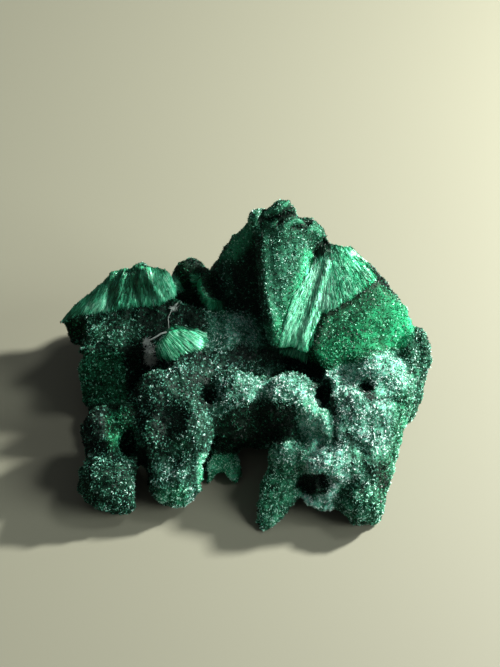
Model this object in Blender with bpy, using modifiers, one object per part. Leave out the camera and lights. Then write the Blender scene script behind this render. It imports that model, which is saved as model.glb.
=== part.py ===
"""Fibrous malachite specimen, standing on its lobes.

One grown piece, so one solid. Rounded velvet-skinned lobes stand in front, a tent of radiating fibres rises behind
them, and a limpet-shaped fan roofs the left end. The lengths in the tables are in millimetres, with X to the right,
Y to the back and Z up from the shelf that the specimen stands on.
"""

import math

import bmesh
import bpy
from mathutils import Euler, Matrix, Vector, noise

MM = 0.001
VOXEL = 0.5 * MM
FINE_VOXEL = 0.42 * MM
SOLID_TRIANGLES = 9300
KNOB_PITCH = 3.2 * MM
KNOB_HEIGHT = 0.55 * MM
GRAIN_PITCH = 1.3 * MM
GRAIN_HEIGHT = 0.14 * MM
KNOB_FALL = 1.6
KNOB_REST = 0.35
RIB_HEIGHT = 0.22 * MM
RIB_WANDER = 2.0
RIB_WANDER_PITCH = 6.0 * MM
FAN_EDGE = 3.0
SMOOTH_EDGE = 3.0
SMOOTH_SHARE = 0.85
FOOT_CUT = 0.4 * MM
FOOT_SNAP = 0.04 * MM
SHELF_SIZE = 200 * MM
SHELF_DEPTH = 20 * MM
SHARP_ANGLE = math.radians(60)
MALACHITE_GREEN = (0.012, 0.13, 0.062, 1.0)
ROUGHNESS = 0.62

# Rounded lobes: name, centre, radii, (tilt about X, tilt about Y, turn about Z) in degrees.
LOBES = [
    # the mass that the rest grew from
    ("core", (-1, 1, 5.4), (24, 13, 6.4), (0, 0, 0)),
    ("core_right", (17, -6, 6.5), (9.5, 11, 6.5), (0, 0, 0)),
    ("core_left", (-17, -8, 3.6), (9.4, 10, 4.0), (0, 0, 0)),
    # front, left to right
    ("foot_left", (-21.8, -22.4, 5.0), (5.1, 4.7, 5.5), (0, 0, 0)),
    ("foot_left_heel", (-20.2, -24.3, 4.0), (4.0, 3.3, 4.0), (0, 0, 0)),
    ("foot_left_toe", (-23.9, -22.0, 3.4), (3.2, 3.6, 3.6), (0, 0, 0)),
    ("side_left", (-23.4, -15.6, 9.0), (3.3, 4.0, 4.3), (0, 0, 0)),
    ("side_left_low", (-23.0, -17.0, 5.2), (3.2, 3.6, 4.4), (0, 0, 0)),
    ("bump_left", (-19.7, -15.0, 11.2), (1.9, 2.2, 2.9), (-20, 25, 0)),
    ("bump_left_low", (-21.3, -18.2, 9.8), (1.8, 1.7, 2.0), (0, 0, 0)),
    ("foot_second", (-11.5, -22.3, 4.4), (4.3, 3.9, 4.5), (0, 0, 0)),
    ("foot_second_left", (-14.0, -22.2, 5.4), (2.5, 2.9, 4.0), (0, 0, 0)),
    ("foot_second_right", (-9.2, -21.4, 6.4), (2.5, 3.0, 4.0), (0, 0, 0)),
    ("belly_left_inner", (-14.8, -18.0, 9.4), (3.3, 3.6, 4.6), (0, 0, 0)),
    ("belly_left_outer", (-9.0, -17.2, 10.0), (3.6, 4.4, 5.6), (0, 0, 0)),
    ("belly_left_middle", (-12.0, -18.4, 8.4), (3.4, 3.3, 4.4), (0, 0, 0)),
    ("belly_left_back", (-12.2, -14.6, 8.6), (6.0, 5.0, 6.0), (0, 0, 0)),
    ("belly_left_top", (-9.3, -13.6, 12.6), (3.7, 3.4, 3.4), (0, 0, 0)),
    ("brow_left", (-14.0, -11.6, 11.8), (4.9, 4.6, 4.9), (0, 0, 0)),
    ("brow_left_high", (-10.4, -9.6, 12.0), (4.7, 4.2, 4.2), (0, 0, 0)),
    ("brow_left_back", (-7.0, -5.6, 11.8), (6.0, 3.8, 3.6), (0, 0, 18)),
    ("middle_left", (-2.2, -10.8, 11.9), (4.3, 4.2, 4.7), (0, 0, 0)),
    ("middle_left_low", (-3.0, -12.4, 8.6), (3.8, 3.8, 6.0), (0, 0, 0)),
    ("middle_right", (6.2, -11.8, 11.6), (4.9, 5.2, 5.2), (0, 0, 0)),
    ("middle_right_edge", (9.4, -13.4, 9.6), (3.1, 4.2, 5.2), (0, 0, 0)),
    ("middle_saddle", (2.0, -9.8, 10.4), (3.0, 3.2, 3.9), (0, 0, 0)),
    ("middle_wall", (2.4, -10.8, 6.6), (8.0, 5.2, 6.4), (0, 0, 0)),
    ("horn_top", (5.9, -19.8, 8.0), (3.4, 3.3, 3.8), (0, 0, 0)),
    ("knee", (12.2, -21.6, 7.2), (3.9, 3.8, 4.2), (0, 0, 0)),
    ("knee_lip", (11.6, -24.2, 3.7), (3.4, 2.7, 2.8), (0, 0, 0)),
    ("belly_right", (16.9, -15.6, 10.8), (6.5, 6.2, 6.4), (0, 0, 0)),
    ("belly_right_low", (17.0, -20.4, 7.6), (5.3, 4.6, 5.4), (0, 0, 0)),
    ("foot_right", (17.6, -26.0, 3.9), (3.8, 3.2, 4.2), (0, 0, 0)),
    ("brow_right", (19.9, -8.3, 12.9), (4.9, 4.6, 4.9), (0, 0, 0)),
    ("brow_right_outer", (22.4, -9.8, 10.8), (3.8, 4.4, 5.4), (0, 0, 0)),
    ("brow_right_inner", (13.4, -10.2, 11.6), (2.9, 3.2, 3.7), (0, 0, 0)),
    # behind, between the roof and the tent
    ("back_dome", (-9.8, 11.9, 14.5), (3.3, 3.2, 3.7), (0, 0, 0)),
    ("valley_ridge", (-2.6, 2.2, 11.4), (4.6, 5.4, 4.4), (0, 0, 0)),
    ("scallop", (-5.4, 6.8, 17.2), (3.6, 2.6, 3.4), (0, 0, 0)),
    # the scalloped ridge of the roof
    ("ridge_low", (-23.4, 5.8, 17.0), (1.7, 2.0, 1.7), (0, 0, 0)),
    ("ridge_left", (-21.1, 6.8, 19.2), (1.7, 2.2, 1.9), (0, 0, 0)),
    ("ridge_top", (-17.3, 6.9, 20.5), (2.3, 2.4, 2.0), (0, 0, 0)),
    ("ridge_right", (-14.3, 6.6, 19.8), (2.0, 2.2, 1.9), (0, 0, 0)),
    # knobs along the tent's crest
    ("knob_left", (1.2, 11.0, 29.0), (2.1, 2.1, 2.0), (0, 0, 0)),
    ("knob_top", (5.1, 11.4, 30.2), (2.6, 2.1, 2.0), (0, 0, 0)),
    ("knob_right", (9.2, 10.4, 27.8), (1.9, 2.0, 1.9), (0, 0, 0)),
    ("knob_low", (10.9, 9.8, 27.0), (1.5, 1.6, 1.6), (0, 0, 0)),
    # the shaded back
    ("back_low_left", (-16.0, 9.0, 6.0), (7.5, 6.5, 6.4), (0, 0, 0)),
    ("back_low_middle", (-3.0, 11.5, 7.0), (7.0, 5.6, 7.4), (0, 0, 0)),
    ("back_low_right", (9.0, 12.0, 6.6), (7.2, 5.4, 7.0), (0, 0, 0)),
    ("back_right", (18.6, 6.6, 7.6), (6.6, 6.2, 7.8), (0, 0, 0)),
    ("back_rise_left", (-1.0, 12.4, 14.6), (4.6, 3.6, 4.6), (0, 0, 0)),
    ("back_rise_middle", (5.4, 13.0, 17.4), (4.4, 3.2, 5.0), (0, 0, 0)),
    ("back_rise_right", (12.4, 12.2, 14.0), (4.8, 3.8, 4.6), (0, 0, 0)),
    ("back_high", (5.0, 12.2, 24.0), (3.2, 2.4, 3.8), (0, 0, 0)),
    ("back_roof", (-19.0, 10.2, 13.0), (5.6, 3.6, 4.2), (0, 0, 0)),
]

# Rounded blocks: name, then each corner as (x, y, z, rounding radius).
BLOCKS = [
    ("tent_pillar", [
        (5.0, 10.8, 29.2, 2.0), (2.4, 10.2, 27.6, 1.9), (8.4, 10.2, 27.6, 1.9), (4.3, 8.1, 25.4, 2.6),
        (3.6, 2.2, 20.6, 2.4), (4.0, -3.4, 16.3, 1.7), (5.0, -3.4, 16.4, 1.7), (6.4, 5.4, 20.4, 1.8),
        (5.0, 8.0, 12.0, 3.0),
    ]),
    ("tent_left", [
        (-0.4, 11.2, 25.8, 1.5), (-3.3, 10.4, 21.3, 1.6), (-5.8, 9.2, 16.7, 1.8), (0.4, 8.6, 19.0, 2.0),
        (-2.0, 7.6, 14.6, 2.0), (0.6, 4.4, 12.8, 2.0), (0.0, 13.0, 18.0, 2.5), (-3.0, 12.4, 13.0, 2.5),
        (2.0, 8.0, 10.0, 3.0),
    ]),
    ("tent_fan", [
        (11.8, 9.1, 25.2, 0.9), (9.0, 6.6, 22.6, 0.9), (6.4, -2.7, 16.4, 1.0), (7.8, -4.4, 15.7, 1.0),
        (10.4, -2.2, 17.7, 0.9), (13.3, 0.7, 20.3, 0.8), (18.8, 4.0, 22.0, 0.8), (15.9, 8.1, 24.5, 0.8),
        (12.6, 3.5, 22.1, 0.9), (9.8, 0.5, 18.3, 0.9), (12.0, 10.0, 16.0, 2.0),
    ]),
    ("tent_face", [
        (19.4, 5.4, 20.2, 1.0), (24.4, 2.8, 17.0, 0.9), (25.2, 1.3, 15.6, 1.0), (25.0, 0.2, 13.7, 1.1),
        (23.6, -1.4, 12.9, 1.0), (20.0, -3.0, 13.4, 1.0), (15.7, -4.5, 13.8, 1.0), (11.1, -6.0, 12.7, 1.0),
        (9.0, -5.0, 13.3, 1.0), (11.0, -1.0, 16.0, 1.0), (13.4, 2.6, 18.2, 1.0), (18.0, 1.0, 17.2, 1.4),
        (19.0, 8.0, 13.0, 2.0), (12.0, 9.0, 12.0, 3.0), (12.0, 3.0, 10.5, 2.0),
    ]),
    ("tent_slab", [
        (15.8, 9.0, 24.2, 0.7), (19.4, 8.2, 21.0, 0.7), (22.6, 6.4, 17.4, 0.8), (24.4, 4.8, 15.2, 0.8),
        (14.0, 12.0, 20.0, 1.5), (16.0, 10.6, 12.0, 2.0),
    ]),
    ("tent_back", [
        (4.0, 12.4, 27.0, 1.5), (9.4, 11.6, 25.0, 1.5), (0.0, 13.6, 20.0, 2.0), (12.0, 13.0, 18.0, 2.0),
        (-2.0, 14.0, 8.0, 3.0), (14.0, 13.0, 8.0, 3.0), (6.0, 6.0, 14.0, 3.0),
    ]),
    ("roof", [
        (-30.9, 2.7, 13.1, 0.6), (-26.3, 3.2, 14.7, 0.7), (-23.9, 3.6, 15.5, 0.7), (-20.7, 3.6, 16.3, 0.7),
        (-15.9, 3.6, 16.8, 0.7), (-13.2, 4.0, 17.2, 0.7), (-12.1, 5.4, 18.1, 0.7), (-28.2, 4.1, 15.4, 0.7),
        (-25.8, 5.4, 16.5, 0.8), (-23.6, 5.7, 17.1, 0.8), (-21.8, 6.6, 18.8, 0.9), (-19.9, 7.0, 19.5, 0.9),
        (-17.5, 7.3, 20.8, 0.9), (-15.2, 7.2, 20.6, 0.9), (-13.0, 6.4, 19.3, 0.9), (-14.0, 9.0, 13.0, 2.0),
        (-20.0, 10.0, 12.0, 2.5), (-26.0, 7.0, 11.0, 1.8),
    ]),
    ("roof_keel", [
        (-29.5, 3.2, 11.6, 1.0), (-29.0, 3.0, 8.7, 1.1), (-25.4, 3.4, 12.6, 1.6), (-25.6, 3.6, 8.0, 1.8),
        (-22.0, 6.0, 9.0, 2.5),
    ]),
    ("shelf", [
        (-25.0, 0.2, 13.4, 1.5), (-19.4, 1.0, 14.0, 1.6), (-13.2, 2.8, 14.4, 1.6), (-10.4, 4.2, 14.8, 1.6),
        (-9.0, -0.4, 11.2, 1.6), (-14.5, -1.8, 11.2, 1.5), (-19.5, -1.2, 11.6, 1.5), (-24.6, 4.0, 7.0, 2.5),
        (-9.0, 5.0, 8.0, 3.0),
    ]),
    ("shelf_right", [
        (-9.6, 3.0, 14.4, 1.4), (-7.2, 4.6, 14.0, 1.4), (-8.0, -1.6, 12.2, 1.4), (-5.4, 1.0, 12.6, 1.4),
        (-8.0, 4.0, 8.0, 2.0),
    ]),
    ("block_upper", [
        (-25.6, 0.4, 14.0, 1.5), (-20.8, 0.8, 14.7, 1.5), (-26.2, -2.2, 12.0, 1.5), (-20.8, -2.0, 12.6, 1.5),
        (-24.6, 1.0, 9.0, 2.0), (-21.0, 1.0, 9.0, 2.0),
    ]),
    ("block_lower", [
        (-26.3, -1.4, 11.2, 1.3), (-21.2, -1.2, 11.2, 1.3), (-26.6, -2.8, 6.0, 1.4), (-21.6, -2.6, 5.6, 1.4),
        (-26.2, -4.4, 2.4, 1.6), (-21.6, -4.4, 2.0, 1.6), (-22.0, 3.0, 3.0, 2.0), (-24.0, 3.0, 9.0, 2.0),
    ]),
    ("chip", [
        (-14.3, -4.0, 16.6, 0.4), (-13.1, -2.4, 17.5, 0.4), (-11.6, -1.9, 17.7, 0.4), (-8.6, -2.1, 17.1, 0.4),
        (-7.1, -2.8, 16.4, 0.4), (-8.2, -4.4, 15.6, 0.4), (-11.4, -5.8, 14.7, 0.4), (-14.3, -5.5, 15.0, 0.4),
        (-12.0, -1.4, 12.8, 0.8), (-9.4, -1.6, 12.8, 0.8), (-12.6, -3.8, 12.6, 0.8), (-9.4, -3.6, 12.6, 0.8),
    ]),
    ("horn", [
        (5.2, -20.0, 6.6, 2.6), (6.2, -19.2, 5.6, 2.8), (3.7, -22.8, 4.6, 2.6), (2.4, -25.6, 2.6, 1.9),
        (5.2, -24.6, 3.0, 2.2), (3.6, -27.4, 1.4, 1.2), (1.9, -28.4, 0.9, 0.9),
    ]),
    ("right_wall", [
        (24.0, -10.0, 8.6, 1.6), (22.8, -15.0, 6.6, 1.6), (21.2, -20.4, 4.4, 1.5), (19.8, -25.2, 3.2, 1.4),
        (19.4, -25.4, 1.6, 1.4), (20.2, -19.0, 1.6, 1.6), (22.4, -10.0, 2.6, 2.0), (18.0, -14.0, 4.0, 3.0),
        (20.0, -11.0, 12.0, 2.5),
    ]),
    ("right_end", [
        (26.8, -0.4, 14.6, 1.5), (28.2, -2.3, 12.4, 1.5), (26.8, -5.8, 8.3, 1.7), (25.0, -9.8, 4.6, 1.7),
        (25.6, -5.0, 3.4, 2.0), (22.0, 0.0, 8.0, 3.0), (22.0, -8.0, 6.0, 3.0),
    ]),
    ("leaf_left", [
        (-7.0, -19.9, 0.9, 0.7), (-6.2, -19.6, 0.9, 0.7), (-5.6, -18.0, 2.2, 0.7), (-6.3, -16.8, 3.6, 0.8),
        (-4.6, -16.4, 4.3, 0.8), (-5.6, -12.0, 5.0, 1.2),
    ]),
    ("leaf_right", [
        (-4.8, -16.8, 4.2, 0.7), (-2.6, -17.2, 3.6, 0.7), (-1.4, -18.6, 1.8, 0.6), (-2.2, -19.8, 0.8, 0.6),
        (-4.0, -18.6, 1.8, 0.6), (-3.2, -12.0, 5.0, 1.2),
    ]),
]

# Rounded hollows: name, centre, radii, (tilts and turn) in degrees.
HOLLOWS = [
    ("under_tent", (5.4, -5.4, 11.2), (7.0, 3.0, 4.0), (0, 0, 0)),
    ("scallop_bowl", (-5.2, 5.6, 19.0), (2.5, 2.2, 2.3), (0, 0, 0)),
    ("cleft_left", (-6.5, -11.6, 13.2), (1.2, 2.7, 3.6), (0, 8, -12)),
    ("cleft_right", (11.5, -11.8, 13.6), (1.1, 2.8, 2.6), (0, -12, -16)),
    ("pit_right", (18.0, -12.0, 15.0), (1.0, 1.2, 1.8), (0, 0, 0)),
    ("hollow_left", (-17.2, -5.6, 10.6), (3.2, 2.6, 4.4), (0, 0, 20)),
    ("groove_fan", (9.7, 6.1, 24.5), (0.6, 3.6, 0.9), (48, 0, 30)),
    ("dimple_left", (-12.4, -17.2, 15.6), (2.8, 1.9, 1.9), (0, 20, 0)),
    ("recess_knee", (11.2, -25.6, 7.6), (2.9, 2.2, 1.2), (14, 0, 0)),
    ("cleft_feet", (-16.9, -23.8, 4.0), (0.8, 4.4, 5.4), (0, 0, 4)),
]

# Where the skin is silky fibre and not knobs: centre, radii.
SMOOTHER = [
    ((11, 3, 20), (20, 13, 14)),
    ((-20, 5, 18), (12, 8, 5)),
    ((-11, -3.6, 16), (5, 4, 3)),
]

# Ribbed fans: centre, radii, root of the ribs, number of ribs in a full turn.
FANS = [
    ((-20, 5, 18), (12, 7, 6), (-18.4, 9.0, 21.0), 17),
    ((11.5, 1.0, 20), (6, 7, 7), (12.4, 11.4, 27.0), 34),
]


def lobe_matrix(centre, radii, turns):
    turn = Euler([math.radians(angle) for angle in turns]).to_matrix().to_4x4()
    return Matrix.Translation(Vector(centre) * MM) @ turn @ Matrix.Diagonal(Vector(radii) * MM).to_4x4()


def add_lobe(bm, centre, radii, turns):
    """A sphere stretched to its radii, tilted and set in place."""
    bmesh.ops.create_icosphere(bm, subdivisions=4, radius=1.0, matrix=lobe_matrix(centre, radii, turns))


def block_mesh(corners):
    """The rounded block that wraps a ball at every corner."""
    bm = bmesh.new()
    points = []
    for x, y, z, radius in corners:
        place = Matrix.Translation(Vector((x, y, z)) * MM)
        ball = bmesh.ops.create_icosphere(bm, subdivisions=2, radius=radius * MM, matrix=place)
        points.extend(vert.co.copy() for vert in ball["verts"])
    bm.clear()
    for point in points:
        bm.verts.new(point)
    hull = bmesh.ops.convex_hull(bm, input=bm.verts[:], use_existing_faces=False)
    loose = {vert for vert in bm.verts if not vert.link_faces}
    bmesh.ops.delete(bm, geom=list(loose), context="VERTS")
    bmesh.ops.recalc_face_normals(bm, faces=bm.faces[:])
    mesh = bpy.data.meshes.new("block")
    bm.to_mesh(mesh)
    bm.free()
    return mesh


def grown_mesh():
    """Every lobe and block in one mesh, closed shells that still cross each other."""
    bm = bmesh.new()
    for _, centre, radii, turns in LOBES:
        add_lobe(bm, centre, radii, turns)
    for _, corners in BLOCKS:
        block = block_mesh(corners)
        bm.from_mesh(block)
        bpy.data.meshes.remove(block)
    mesh = bpy.data.meshes.new("malachite")
    bm.to_mesh(mesh)
    bm.free()
    return mesh


def settle(obj):
    """Makes the object's mesh what its modifiers give, and drops the modifiers."""
    graph = bpy.context.evaluated_depsgraph_get()
    mesh = bpy.data.meshes.new_from_object(obj.evaluated_get(graph))
    obj.modifiers.clear()
    old = obj.data
    obj.data = mesh
    bpy.data.meshes.remove(old)


def fuse(obj, voxel, rounds):
    """Makes one skin of the crossing shells and softens the creases between them."""
    remesh = obj.modifiers.new("fuse", "REMESH")
    remesh.mode = "VOXEL"
    remesh.voxel_size = voxel
    smooth = obj.modifiers.new("soften", "SMOOTH")
    smooth.factor = 0.5
    smooth.iterations = rounds
    settle(obj)


def cut_away(obj, name, bm, collection):
    """Cuts the shape in bm out of the object and keeps it as a hidden cutter."""
    mesh = bpy.data.meshes.new(name)
    bm.to_mesh(mesh)
    bm.free()
    cutter = bpy.data.objects.new(name, mesh)
    collection.objects.link(cutter)
    cutter.hide_render = True
    cutter.display_type = "WIRE"
    cut = obj.modifiers.new(name, "BOOLEAN")
    cut.operation = "DIFFERENCE"
    cut.solver = "EXACT"
    cut.object = cutter
    settle(obj)


def hollow_out(obj, collection):
    """Cuts the clefts, pits and the slot under the tent."""
    for name, centre, radii, turns in HOLLOWS:
        bm = bmesh.new()
        bmesh.ops.create_icosphere(bm, subdivisions=3, radius=1.0, matrix=lobe_matrix(centre, radii, turns))
        cut_away(obj, name, bm, collection)


def near(place, centre, radii):
    """1 at the centre of an ellipsoid, 0 at its surface and beyond."""
    gap = [(place[axis] - centre[axis] * MM) / (radii[axis] * MM) for axis in range(3)]
    return max(0.0, 1.0 - math.sqrt(sum(part * part for part in gap)))


def rib_height(place):
    """Ribs that spread from each fan's root over its surface."""
    height = 0.0
    for centre, radii, root, count in FANS:
        share = min(1.0, FAN_EDGE * near(place, centre, radii))
        if share > 0.0:
            spoke = place - Vector(root) * MM
            angle = math.atan2(spoke.y, spoke.x)
            wander = RIB_WANDER * noise.noise(place / RIB_WANDER_PITCH)
            height += share * RIB_HEIGHT * math.sin(count * angle + wander)
    return height


def skin(obj):
    """Raises the small rounded knobs that cover the lobes, and the ribs on the fans."""
    mesh = obj.data
    raised = []
    for vert in mesh.vertices:
        place = vert.co
        smooth = max(min(1.0, SMOOTH_EDGE * near(place, centre, radii)) for centre, radii in SMOOTHER)
        cells = noise.voronoi(place / KNOB_PITCH)[0]
        lump = max(0.0, 1.0 - KNOB_FALL * cells[0]) - KNOB_REST
        grain = noise.noise(place / GRAIN_PITCH)
        rough = (KNOB_HEIGHT * lump + GRAIN_HEIGHT * grain) * (1.0 - SMOOTH_SHARE * smooth)
        raised.append(place + vert.normal * (rough + rib_height(place)))
    for vert, place in zip(mesh.vertices, raised):
        vert.co = place


def drop_inner_shells(obj):
    """Keeps the outer skin alone: the gaps shut in between lobes are solid stone."""
    bm = bmesh.new()
    bm.from_mesh(obj.data)
    unseen = set(bm.verts)
    shells = []
    while unseen:
        front = [unseen.pop()]
        shell = list(front)
        while front:
            vert = front.pop()
            for edge in vert.link_edges:
                other = edge.other_vert(vert)
                if other in unseen:
                    unseen.remove(other)
                    front.append(other)
                    shell.append(other)
        shells.append(shell)
    shells.sort(key=len)
    for shell in shells[:-1]:
        bmesh.ops.delete(bm, geom=shell, context="VERTS")
    bm.to_mesh(obj.data)
    bm.free()


def cut_feet(obj, collection):
    """Cuts the underside flat, so that the specimen stands on real faces."""
    bm = bmesh.new()
    size = Matrix.Diagonal((SHELF_SIZE, SHELF_SIZE, SHELF_DEPTH, 1.0))
    place = Matrix.Translation((0.0, 0.0, FOOT_CUT - SHELF_DEPTH / 2)) @ size
    bmesh.ops.create_cube(bm, size=1.0, matrix=place)
    cut_away(obj, "shelf_under", bm, collection)


def thin_out(obj):
    """Brings the solid down to its number of triangles."""
    count = sum(len(face.vertices) - 2 for face in obj.data.polygons)
    decimate = obj.modifiers.new("thin_out", "DECIMATE")
    decimate.ratio = SOLID_TRIANGLES / count
    decimate.use_collapse_triangulate = True
    settle(obj)


def stand(obj):
    """Puts the flat feet on Z = 0 and the middle of the outline on the Z axis."""
    mesh = obj.data
    for vert in mesh.vertices:
        vert.co.z -= FOOT_CUT
        if vert.co.z < FOOT_SNAP:
            vert.co.z = 0.0
    for axis in range(2):
        values = [vert.co[axis] for vert in mesh.vertices]
        middle = (min(values) + max(values)) / 2
        for vert in mesh.vertices:
            vert.co[axis] -= middle


def paint(obj):
    material = bpy.data.materials.new("malachite")
    material.use_nodes = True
    surface = material.node_tree.nodes["Principled BSDF"]
    surface.inputs["Base Color"].default_value = MALACHITE_GREEN
    surface.inputs["Roughness"].default_value = ROUGHNESS
    surface.inputs["Metallic"].default_value = 0.0
    obj.data.materials.clear()
    obj.data.materials.append(material)
    obj.data.shade_smooth()
    obj.data.set_sharp_from_angle(angle=SHARP_ANGLE)


def main():
    for old in list(bpy.data.objects):
        bpy.data.objects.remove(old)
    collection = bpy.data.collections.new("malachite_specimen")
    cutters = bpy.data.collections.new("cutters")
    bpy.context.scene.collection.children.link(collection)
    bpy.context.scene.collection.children.link(cutters)
    obj = bpy.data.objects.new("malachite", grown_mesh())
    collection.objects.link(obj)
    fuse(obj, VOXEL, 2)
    hollow_out(obj, cutters)
    fuse(obj, FINE_VOXEL, 2)
    drop_inner_shells(obj)
    skin(obj)
    cut_feet(obj, cutters)
    drop_inner_shells(obj)
    thin_out(obj)
    stand(obj)
    paint(obj)


main()
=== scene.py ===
"""Looks of the fibrous malachite specimen.

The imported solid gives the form. Here it gets a fine skin with knobs, flutes and creases, a velvet of
short crystal needles, and the silky fibres of the fan, the roof, the scallop and the chip. Lengths are
in metres, written as millimetres times MM, unless a comment says mm. Places on the front are named by
where they are seen in the 500 x 667 frame, and are found on the skin by looking through the camera.
"""

import math

import bmesh
import bpy
import numpy as np
from mathutils import Matrix, Vector, noise
from mathutils.bvhtree import BVHTree


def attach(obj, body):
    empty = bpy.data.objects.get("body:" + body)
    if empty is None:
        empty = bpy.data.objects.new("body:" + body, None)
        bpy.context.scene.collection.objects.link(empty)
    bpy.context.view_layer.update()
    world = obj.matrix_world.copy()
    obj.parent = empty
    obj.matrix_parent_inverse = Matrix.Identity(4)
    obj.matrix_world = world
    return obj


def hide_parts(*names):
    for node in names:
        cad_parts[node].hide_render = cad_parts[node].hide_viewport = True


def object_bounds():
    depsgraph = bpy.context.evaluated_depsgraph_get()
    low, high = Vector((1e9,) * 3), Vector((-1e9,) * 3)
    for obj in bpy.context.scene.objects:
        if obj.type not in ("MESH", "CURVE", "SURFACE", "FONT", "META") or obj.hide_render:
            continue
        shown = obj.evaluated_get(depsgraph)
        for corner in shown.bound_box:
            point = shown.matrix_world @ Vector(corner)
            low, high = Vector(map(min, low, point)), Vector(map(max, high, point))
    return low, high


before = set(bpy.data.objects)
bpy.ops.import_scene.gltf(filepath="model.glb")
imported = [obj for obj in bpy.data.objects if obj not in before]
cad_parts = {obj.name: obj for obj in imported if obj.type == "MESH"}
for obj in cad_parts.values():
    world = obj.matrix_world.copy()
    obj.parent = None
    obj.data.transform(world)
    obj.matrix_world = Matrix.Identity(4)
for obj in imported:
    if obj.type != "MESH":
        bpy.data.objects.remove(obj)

cad_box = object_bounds()
MM = 0.001
TINY = 1e-12
FRAME_WIDTH, FRAME_HEIGHT = 500, 667

# Camera: looks down on the piece from the front. Lens and sensor are in mm.
AIM = np.array([0.79, 5.92, 13.6]) * MM
ELEVATION = math.radians(50)
DISTANCE = 266 * MM
LENS, SENSOR = 90.0, 36.0
NEAR_CLIP, FAR_CLIP = 0.01, 5.0
FOCAL_PX = LENS / SENSOR * FRAME_HEIGHT
PIXEL = DISTANCE / FOCAL_PX
RIGHT = np.array([1.0, 0.0, 0.0])
UP = np.array([0.0, math.sin(ELEVATION), math.cos(ELEVATION)])
BACK = np.array([0.0, -math.cos(ELEVATION), math.sin(ELEVATION)])
EYE = AIM + BACK * DISTANCE

# Each light: kind, strength on the stone, width and elevation in degrees, degrees round from straight
# behind to the right, colour.
LIGHTS = {
    "key": ("AREA", 14.9, 5, 31, 68, (1.0, 0.985, 0.94)),
    "high": ("SUN", 1.0, 10, 52, 72, (0.98, 1.0, 0.97)),
    "side": ("SUN", 3.6, 30, 26, 108, (0.95, 1.0, 0.97)),
}
LAMP_DISTANCE = 280 * MM
LAMP_AIM = Vector((0, 0, 8 * MM))
FILL_COLOUR, FILL_STRENGTH = (0.93, 0.97, 1.0), 0.15

# Outlines of the differently grown regions, as seen in the frame.
FAN = [(327, 240), (318, 249), (311, 268), (298, 288), (291, 302), (286, 322), (280, 342), (279, 353),
       (297, 357), (306, 362), (311, 344), (316, 325), (321, 313), (335, 308), (343, 301), (351, 298),
       (356, 293), (367, 286), (376, 279), (366, 262), (356, 249), (342, 243)]
FACE = [(376, 281), (367, 288), (356, 295), (343, 303), (335, 310), (323, 314), (317, 330), (310, 350),
        (304, 362), (318, 373), (336, 366), (363, 358), (389, 350), (403, 349), (411, 339), (415, 323),
        (396, 294), (386, 284)]
SLAB = [(357, 246), (364, 262), (378, 279), (397, 292), (402, 300), (392, 286), (376, 268)]
PILLAR = [(250, 210), (262, 200), (282, 194), (302, 203), (320, 218), (326, 236), (316, 250),
          (309, 268), (296, 288), (289, 302), (284, 322), (278, 342), (276, 352), (264, 340),
          (258, 322), (254, 300), (252, 260)]
FLANK = [(228, 236), (246, 208), (252, 222), (252, 270), (256, 316), (238, 306), (222, 306), (224, 284),
         (205, 276), (213, 256), (226, 240)]
ROOF = [(54, 326), (68, 310), (86, 290), (103, 280), (108, 268), (120, 264), (142, 258), (160, 263),
        (173, 270), (183, 290), (172, 297), (160, 304), (140, 305), (122, 307), (108, 311), (90, 312),
        (72, 315)]
CHIP = [(164, 334), (170, 327), (177, 325), (192, 328), (204, 333), (207, 341), (200, 349), (184, 352),
        (175, 358), (165, 360), (157, 356), (154, 348), (159, 340)]
SCALLOP = [(191, 274), (193, 288), (201, 300), (210, 308), (223, 310), (222, 302), (212, 298),
           (204, 288), (200, 276)]
BLOCK = [(74, 358), (124, 356), (130, 402), (78, 404)]

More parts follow.
